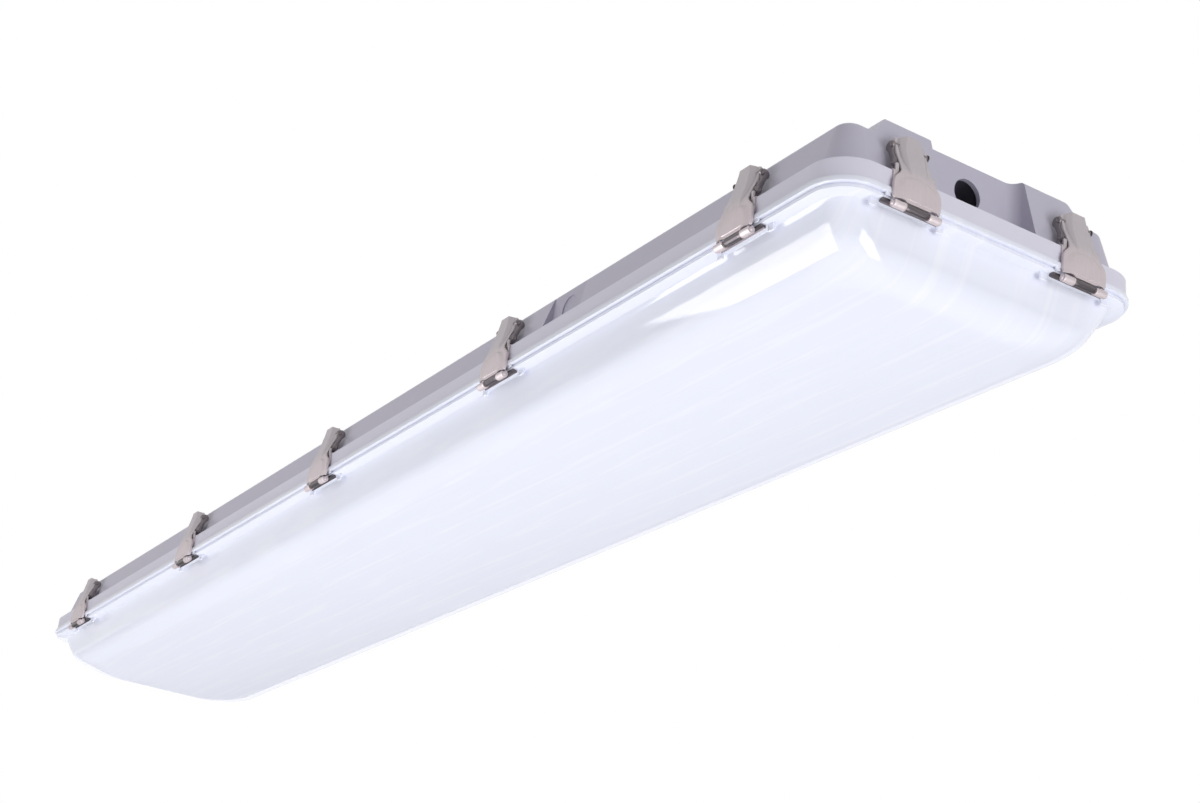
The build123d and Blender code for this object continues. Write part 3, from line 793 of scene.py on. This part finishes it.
def base_clip_mesh(sizes):
    """The base clip: a flap hooked over the rim, two side tabs and the pin's barrel."""
    half = sizes.sheet / 2
    shelf = RIM_TOP + half
    flap = rounded([(-half, FLAP_FOOT), (-half, shelf), (SHELF_END, shelf)], SHELF_BEND, 5)
    roll = BARREL_RADIUS - half
    barrel = [(BASE_PIN[0] + roll, shelf), *arc(BASE_PIN, roll, 0, 305, 24)]
    tab = [(-half, height) for height in TAB_HEIGHTS]
    return merged("base_clip", [
        shaped(strip(line, left, right, corner), *thick(sizes.sheet, sizes.edge))
        for line, left, right, corner in (
            (flap, -FLAP_HALF_WIDTH, FLAP_HALF_WIDTH, FLAP_CORNER),
            (barrel, -BARREL_HALF_WIDTH, BARREL_HALF_WIDTH, 0.0),
            *[(tab, start, start + TAB_WIDTH, TAB_CORNER) for start in TAB_STARTS],
        )
    ])


# The lens's wall, its flange's corners and how far the flange's foot steps in, and the
# groove between ledge and foot as (inset, height)
WALL, FLANGE_CORNER, FLANGE_STEP = 2.5, 27.0, 2.5
GROOVE = ((3.2, -4.0), (3.5, -4.2), (3.5, -4.8), (3.2, -5.0), (2.5, -5.05))

# The body that hangs from the flange: its inset, depth, lower edge's radius and corners at
# the top, how much these grow downwards, the dome of its face and the draft of its walls
BODY_INSET, BODY_DROP, BODY_FILLET, BODY_CORNER = 10.0, 38.0, 25.0, 20.0
CORNER_GROWTH, DOME, DOME_HALF_WIDTH, DRAFT = 20.0, 3.2, 78.0, radians(20)

# Where the body comes out under the flange's foot, and its fillet: inset, height, corner
BODY_START = -7.6
ROOT_FILLET = ((10.7, -7.0, 20.2), (11.0, -7.15, 20.4))

# The rows down the body's wall and over its face, as shares of each, and how near to the
# lens's middle line the last one comes
WALL_ROWS = (0.33, 0.66, 0.95, 1.0)
FACE_ROWS = (0.03, 0.15, 0.3, 0.45, 0.6, 0.75, 0.9, 1.0)
MIDDLE_GAP = 2.0

# Blocks on the flange beside a latch: the way along the rim, back and up to each, its size
LUGS = (
    ((24.5, 6.0, -9.25), (5.0, 1.6, 4.6)),
    ((18.4, -0.2, -3.7), (4.2, 1.0, 4.6)),
)
LUG_EDGE = 0.35


def ring(bm, inset, height, corner, sag=0.0, steps=14):
    """A rounded rectangle inside the flange's outer edge; a sag lifts its long sides."""
    half_x, half_y = LENS_HALF_LENGTH - inset, LENS_HALF_WIDTH - inset
    corner = min(corner, half_y - 0.5)
    points = []
    for quarter, (sx, sy) in enumerate(((1, 1), (-1, 1), (-1, -1), (1, -1))):
        for i in range(steps + 1):
            turn = radians(90 * quarter + 90 * i / steps)
            y = sy * (half_y - corner) + corner * sin(turn)
            points.append((
                sx * (half_x - corner) + corner * cos(turn), y,
                height + sag * (y / DOME_HALF_WIDTH) ** 2,
            ))
    return [bm.verts.new(point) for point in points]


def lens_body(wall, steps):
    """Insets, heights, corners and sags of the body's outside, or its inside with a wall."""
    inset, drop, fillet = BODY_INSET + wall, BODY_DROP - wall, BODY_FILLET - wall
    tangent = fillet * tan((pi / 2 - DRAFT) / 2)
    centre = inset + drop * tan(DRAFT) + tangent
    bottom = FLANGE_LEDGE - drop
    places = [(inset, FLANGE_LEDGE)]
    for part in WALL_ROWS:
        run = (drop / cos(DRAFT) - tangent) * part
        places.append((inset + run * sin(DRAFT), FLANGE_LEDGE - run * cos(DRAFT)))
    for i in range(1, steps + 1):
        turn = DRAFT + (pi / 2 - DRAFT) * i / steps
        places.append((centre - fillet * cos(turn), bottom + fillet - fillet * sin(turn)))
    inwards = LENS_HALF_WIDTH - MIDDLE_GAP - centre
    places += [(centre + part * inwards, bottom) for part in FACE_ROWS]
    rows = []
    for away, height in places:
        down = ((FLANGE_LEDGE - height) / drop) ** 3
        rows.append((away, height, BODY_CORNER - wall + CORNER_GROWTH * down, DOME * down))
    return rows


def flange_rows(edge):
    """Insets, heights and corners of the flange's outside, from its top to its foot."""
    soft = 0.3 * edge
    step = FLANGE_STEP
    line = (
        (edge, FLANGE_TOP), (soft, FLANGE_TOP - soft), (0.0, FLANGE_TOP - edge),
        (0.0, FLANGE_LEDGE + edge), (soft, FLANGE_LEDGE + soft), (edge, FLANGE_LEDGE),
        *GROOVE,
        (step, FLANGE_FOOT + edge), (step + soft, FLANGE_FOOT + soft), (step + edge, FLANGE_FOOT),
    )
    return [(inset, height, FLANGE_CORNER - inset) for inset, height in line]


def lens_lugs():
    """The clear blocks on the flange beside each latch."""
    bm = bmesh.new()
    for name in LATCHES:
        origin, across, back = station(name)
        for side in (-1, 1):
            for (along_rim, inward, up), size in LUGS:
                middle = origin / MM + across * side * along_rim + back * inward
                middle.z += up - PARTING_LINE / MM
                bmesh.ops.create_cube(bm, size=1.0, matrix=(
                    Matrix.Translation(middle) @ upright(across, back)
                    @ Matrix.Diagonal((*size, 1.0))
                ))
    return shaped(bm, ("BEVEL", {"width": LUG_EDGE, "segments": 3}))


def lens_mesh(edge):
    """The lens: a two-step flange with broken edges, the drafted body and its lugs."""
    outer, inner = lens_body(0.0, 16), lens_body(WALL, 10)
    share_down = (FLANGE_LEDGE - BODY_START) / (FLANGE_LEDGE - outer[1][1])
    start = tuple(a + (b - a) * share_down for a, b in zip(*outer[:2]))
    mouth = (BODY_INSET + WALL, FLANGE_TOP, BODY_CORNER - WALL)
    rows = [mouth, *flange_rows(edge), *ROOT_FILLET, start, *outer[1:]]
    bm = bmesh.new()
    outside = [ring(bm, *row) for row in rows]
    inside = [outside[0]] + [ring(bm, *row) for row in inner]
    for rings, turn in ((outside, 1), (inside, -1)):
        for low, high in zip(rings, rings[1:]):
            for i in range(len(low)):
                bm.faces.new((low[i - 1], low[i], high[i], high[i - 1])[::turn])
    bm.faces.new(outside[-1][::-1])
    bm.faces.new(inside[-1])
    bmesh.ops.recalc_face_normals(bm, faces=bm.faces)
    return merged("lens", [shaped(bm), lens_lugs()], sharp=35.0)


def place(mesh, name, latch, body, slot, *nodes):
    """Sets a shared mesh at a latch, riding on a body in place of CAD nodes."""
    obj = added(name, mesh)
    origin, across, back = station(latch)
    obj.matrix_world = Matrix.Translation(origin) @ upright(across, back)
    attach(obj, body)
    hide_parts(*nodes)


# How high above the parting line the rim's painted light ends, in millimetres, below which the
# housing is coloured lighter for the light that the rim gets from below and off the lens flange,
# and how far the streaks of metals stand out, in metres
LIT_RIM_TOP = 12.5
METAL_RELIEF = 0.05 * MM


class FIXTURE_OT_finishes(bpy.types.Operator):
    """Make the finish groups and the materials"""

    bl_idname = "fixture.finishes"
    bl_label = "Finishes"

    def execute(self, context):
        look = context.scene.fixture_finish
        self.plastics(finish_group("Moulded grain", GRAINED_INPUTS, moulded), look)
        self.metals(finish_group("Brushed sheet", SHEET_INPUTS, brushed), look)
        self.paints(finish_group("Powder coat", GRAINED_INPUTS, painted), look)
        lens_finish(context.scene.fixture_lens)
        return {"FINISHED"}

    def plastics(self, group, look):
        """Mouldings, foam and wire jackets."""
        # The housing is one moulding; its lighter colour below the rim's top is painted light from
        # below
        finish("housing_grey", group, look.housing, roughness=0.36, variation=0.05, grain=1400.0,
               bump=look.grain, low=look.rim, low_height=PARTING_LINE + LIT_RIM_TOP * MM)
        for name, tint, roughness, variation, grain, bump in (
            ("gasket_foam", look.gasket, 0.75, 0.10, 2200.0, 0.5),
            ("driver_white", (0.72, 0.73, 0.73), 0.42, 0.06, 1500.0, 0.2),
            ("terminal_plastic", (0.70, 0.71, 0.70), 0.40, 0.08, 1500.0, 0.2),
            ("wire_jacket", (0.10, 0.10, 0.11), 0.45, 0.15, 1800.0, 0.2),
        ):
            finish(name, group, tint, roughness, variation, grain, bump)

    def metals(self, group, look):
        """Sheets and screws."""
        # The lighter steel below 11 mm is painted light from below on the lever's pad and the base
        # clip
        finish("latch_steel", group, look.steel, roughness=0.38, variation=0.12, bump=0.12,
               relief=METAL_RELIEF, low=look.lit_lower_steel, low_height=11.0 * MM, low_blend=7.0 * MM,
               Metallic=0.4)
        for name, tint, roughness, variation, bump, metallic in (
            # The claw's dark steel is painted shade under the lens flange
            ("claw_steel", look.shaded_claw_tint, 0.25, 0.25, 0.15, 0.9),
            # The link's dark steel is painted shade between the lever and the rim
            ("link_steel", look.link_steel, 0.28, 0.25, 0.15, 0.75),
            ("bracket_steel", (0.58, 0.58, 0.57), 0.26, 0.12, 0.12, 1.0),
            ("screw_steel", (0.62, 0.61, 0.60), 0.24, 0.10, 0.1, 1.0),
            ("ground_brass", (0.25, 0.42, 0.22), 0.30, 0.12, 0.1, 0.6),
        ):
            finish(name, group, tint, roughness, variation, bump=bump, relief=METAL_RELIEF,
                   Metallic=metallic)

    def paints(self, group, look):
        """The painted tray, the boards and the packages on them."""
        for name, tint, roughness, variation, grain, bump in (
            ("tray_white", look.tray, 0.34, 0.03, 1600.0, 0.15),
            ("board_white", (0.80, 0.81, 0.80), 0.38, 0.05, 3000.0, 0.1),
            ("led_phosphor", (0.84, 0.66, 0.18), 0.42, 0.10, 2600.0, 0.2),
        ):
            finish(name, group, tint, roughness, variation, grain, bump)


class FIXTURE_OT_latches(bpy.types.Operator):
    """Press the latch parts and set fourteen of each"""

    bl_idname = "fixture.latches"
    bl_label = "Latches"

    def execute(self, context):
        sizes = millimetres(context.scene.fixture_latch)
        parts = {
            "link": (link_mesh(sizes), "link_steel"),
            "lever": (lever_mesh(sizes), "latch_steel"),
            "claw": (claw_mesh(sizes), "claw_steel"),
        }
        clip = base_clip_mesh(sizes)
        for mesh, steel in (*parts.values(), (clip, "latch_steel")):
            mesh.materials.append(bpy.data.materials[steel + DRESSED])
        for latch in LATCHES:
            for kind, (mesh, _) in parts.items():
                place(mesh, f"{latch}_{kind}_pressed", latch, f"{latch}_{kind}",
                      "latch_steel", f"{latch}_{kind}")
            place(clip, f"{latch}_base_clip", latch, "fixture", "latch_steel", "latch_base_clips")
        return {"FINISHED"}


class FIXTURE_OT_lens(bpy.types.Operator):
    """Mould the lens with its flange, rounded edges and locating lugs"""

    bl_idname = "fixture.lens"
    bl_label = "Lens"

    def execute(self, context):
        obj = added("lens_moulded", lens_mesh(context.scene.fixture_lens.edge / MM))
        obj.location.z = PARTING_LINE
        coat(obj, "lens_frosted")
        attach(obj, "fixture")
        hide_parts("lens")
        return {"FINISHED"}


NODE_FINISHES = {
    "housing": "housing_grey",
    "gasket": "gasket_foam",
    "gear_tray": "tray_white",
    "led_boards": "board_white",
    "led_packages": "led_phosphor",
    "led_driver": "driver_white",
    "terminal_block": "terminal_plastic",
    "wiring": "wire_jacket",
    "ground_screw": "ground_brass",
    **dict.fromkeys(("tray_screws", "board_screws", "driver_screws"), "screw_steel"),
    **{f"mounting_bracket_{side}": "bracket_steel" for side in ("left", "right")},
}


class FIXTURE_OT_carried_pieces(bpy.types.Operator):
    """Give the pieces that stay as the CAD drew them their finishes"""

    bl_idname = "fixture.carried_pieces"
    bl_label = "Housing, tray and gear"

    def execute(self, context):
        for node, name in NODE_FINISHES.items():
            coat(frame["nodes"][node], name)
        return {"FINISHED"}


# The camera as fitted to the photograph: its place in metres, its azimuth, elevation and
# roll in degrees, its focal length and its sensor's width in millimetres
CAMERA_PLACE = (1.415912, -0.711641, -0.635936)
CAMERA_TURNS = (149.17, 23.4167, 5.92537)
FOCAL_LENGTH, SENSOR_WIDTH = 61.068, 36.0

# Where the photograph, in its pixels, shows the lens's two highlights: the upper and the
# lower edge of the long wedge, and the left and the right edge of the leaf at the corner
PHOTO_WIDTH, PHOTO_HEIGHT = 1200, 803
WEDGE_TOP = ((645, 324.5), (829, 222))
WEDGE_FOOT = ((645, 325), (735, 304), (838, 250))
LEAF_LEFT = ((862, 228), (859, 240), (870, 257))
LEAF_RIGHT = ((864, 229), (874, 243), (880, 260))

# The panels that make them, how far they stand from the lens and their meshes' fineness
PANELS = {"side_panel": (WEDGE_TOP, WEDGE_FOOT), "end_panel": (LEAF_LEFT, LEAF_RIGHT)}
PANEL_DISTANCE = 1.5
PANEL_COLUMNS, PANEL_ROWS = 14, 4

# Each lamp: its size, its place and the place that it points at, in metres
LAMPS = {
    "key": ((2.4, 1.0), (-0.5, -2.6, -0.8), (-0.2, 0.0, -0.05)),
    "end": ((1.0, 1.0), (2.3, 0.2, -0.7), (0.4, 0.0, -0.05)),
    "top": ((3.4, 1.6), (0.0, 0.0, 2.2), (0.0, 0.05, 0.0)),
    "under": ((3.4, 1.4), (-0.75, 0.0, -1.5), (-0.75, 0.05, 0.0)),
}
FLOOR_LINES = (-9, -3, 3, 9)


def along(line, part):
    """The point at a share of the way through a line's points, counted by their X and Y."""
    lengths = [hypot(b[0] - a[0], b[1] - a[1]) for a, b in zip(line, line[1:])]
    left = part * sum(lengths)
    for start, end, reach in zip(line, line[1:], lengths):
        if left <= reach or end == line[-1]:
            return Vector(start).lerp(Vector(end), min(left / reach, 1.0))
        left -= reach


def mirrored(lens, view, pixel):
    """Where a ray from the camera ends after the lens has reflected it at a picture place."""
    focal = view.data.lens / view.data.sensor_width * PHOTO_WIDTH
    ray = view.matrix_world.to_3x3() @ Vector((
        (pixel[0] - PHOTO_WIDTH / 2) / focal, (PHOTO_HEIGHT / 2 - pixel[1]) / focal, -1.0,
    )).normalized()
    to_lens = lens.matrix_world.inverted()
    hit, spot, _, index = lens.ray_cast(
        to_lens @ view.matrix_world.translation, (to_lens.to_3x3() @ ray).normalized(),
    )
    if not hit:
        raise RuntimeError(f"The lens isn't behind picture place {tuple(pixel)}")
    face = lens.data.polygons[index]
    weights = poly_3d_calc([lens.data.vertices[i].co for i in face.vertices], spot)
    normal = sum((
        weight * Vector(lens.data.corner_normals[loop].vector)
        for weight, loop in zip(weights, face.loop_indices)
    ), Vector())
    normal = (lens.matrix_world.to_3x3() @ normal).normalized()
    return lens.matrix_world @ spot + ray.reflect(normal) * PANEL_DISTANCE


class FIXTURE_OT_stage(bpy.types.Operator):
    """Set the floor, the background, the lamps, the camera and the reflected panels"""

    bl_idname = "fixture.stage"
    bl_label = "Studio"

    def execute(self, context):
        scene = context.scene
        stage = scene.fixture_stage
        scene.view_settings.view_transform = "Standard"
        self.floor(stage)
        self.background(scene, stage)
        self.lamps(stage)
        self.camera(scene)
        self.panels(scene, stage)
        return {"FINISHED"}

    def floor(self, stage):
        """The pale floor."""
        floor = surface(
            "floor", [[(x, y, stage.floor_height) for x in FLOOR_LINES] for y in FLOOR_LINES],
        )
        finish("floor_paint", bpy.data.node_groups["Powder coat"], stage.floor_tint,
               roughness=0.75, variation=0.02, grain=40.0, bump=0.02)
        coat(floor, "floor_paint")

    def background(self, scene, stage):
        """Even daylight that the camera, gloss and clear pieces see as white."""
        world = bpy.data.worlds.new("studio")
        scene.world = world
        world.use_nodes = True
        world.node_tree.nodes.clear()
        net = Net(world.node_tree)
        seen = net.add("ShaderNodeLightPath").outputs
        through = net.math("ADD", seen["Is Glossy Ray"], seen["Is Transmission Ray"])
        direct = net.math("MINIMUM", 1.0, net.math("ADD", seen["Is Camera Ray"], through))
        level = net.math("MULTIPLY_ADD", direct, 1.0 - stage.daylight, stage.daylight)
        sky = net.add("ShaderNodeBackground", {"Color": WHITE, "Strength": level})
        net.add("ShaderNodeOutputWorld", {"Surface": sky.outputs[0]})

    def lamps(self, stage):
        """Four wide lamps that neither the camera nor gloss shows."""
        for name, (size, spot, aim) in LAMPS.items():
            lamp = bpy.data.lights.new(f"{name}_lamp", "AREA")
            lamp.shape = "RECTANGLE"
            lamp.size, lamp.size_y = size
            lamp.energy = getattr(stage, name)
            holder = added(f"{name}_lamp", lamp)
            holder.location = spot
            holder.rotation_euler = (Vector(aim) - Vector(spot)).to_track_quat("-Z", "Y").to_euler()
            holder.visible_glossy = False
            holder.visible_camera = False

    def camera(self, scene):
        """The camera, at the photograph's viewing angle."""
        azimuth, elevation, roll = map(radians, CAMERA_TURNS)
        forward = Vector((
            cos(elevation) * cos(azimuth), cos(elevation) * sin(azimuth), sin(elevation),
        ))
        level = forward.cross(Vector((0, 0, 1))).normalized()
        plumb = level.cross(forward)
        right = level * cos(roll) + plumb * sin(roll)
        up = plumb * cos(roll) - level * sin(roll)
        optics = bpy.data.cameras.new("camera")
        optics.sensor_width = SENSOR_WIDTH
        optics.lens = FOCAL_LENGTH
        optics.clip_start = 0.01
        view = added("camera", optics)
        view.matrix_world = Matrix.Translation(CAMERA_PLACE) @ (
            Matrix((right, up, -forward)).transposed().to_4x4()
        )
        scene.camera = view

    def panels(self, scene, stage):
        """The bright panels, placed so that the lens shows them where the photo does."""
        lens = bpy.data.objects.get("lens_moulded")
        if lens is None:
            raise RuntimeError("The panels need the lens, which isn't made yet")
        bpy.context.view_layer.update()
        net = material_net("panel_glow")
        lit = net.add("ShaderNodeEmission", {"Color": WHITE, "Strength": stage.panel})
        net.add("ShaderNodeOutputMaterial", {"Surface": lit.outputs[0]})
        for name, (first, second) in PANELS.items():
            rows = []
            for i in range(PANEL_COLUMNS + 1):
                start, end = (along(edge, i / PANEL_COLUMNS) for edge in (first, second))
                rows.append([
                    mirrored(lens, scene.camera, start.lerp(end, j / PANEL_ROWS))
                    for j in range(PANEL_ROWS + 1)
                ])
            panel = surface(name, rows)
            coat(panel, "panel_glow")
            panel.visible_camera = False
            panel.visible_diffuse = False
            panel.visible_shadow = False


SETTINGS = {
    "fixture_latch": LatchSettings,
    "fixture_lens": LensSettings,
    "fixture_finish": FinishSettings,
    "fixture_stage": StageSettings,
}
OPERATORS = (
    FIXTURE_OT_finishes,
    FIXTURE_OT_carried_pieces,
    FIXTURE_OT_lens,
    FIXTURE_OT_latches,
    FIXTURE_OT_stage,
)


class FIXTURE_PT_pieces(bpy.types.Panel):
    """The fixture's pieces and their sizes"""

    bl_label = "Vapor tight fixture"
    bl_space_type = "VIEW_3D"
    bl_region_type = "UI"
    bl_category = "Fixture"

    def draw(self, context):
        for operator in OPERATORS:
            self.layout.operator(operator.bl_idname)
        for name, group in SETTINGS.items():
            box = self.layout.box()
            for key in group.__annotations__:
                box.prop(getattr(context.scene, name), key)


CLASSES = (*SETTINGS.values(), *OPERATORS, FIXTURE_PT_pieces)


def register():
    """Add the classes and the settings on the scene."""
    for cls in CLASSES:
        bpy.utils.register_class(cls)
    for name, cls in SETTINGS.items():
        setattr(bpy.types.Scene, name, bpy.props.PointerProperty(type=cls))


def unregister():
    """Take the settings and the classes away."""
    for name in SETTINGS:
        delattr(bpy.types.Scene, name)
    for cls in reversed(CLASSES):
        bpy.utils.unregister_class(cls)


def main():
    """Dress the fixture."""
    register()
    bpy.ops.fixture.finishes()
    bpy.ops.fixture.carried_pieces()
    bpy.ops.fixture.lens()
    bpy.ops.fixture.latches()
    bpy.ops.fixture.stage()


if __name__ == "__main__":
    main()
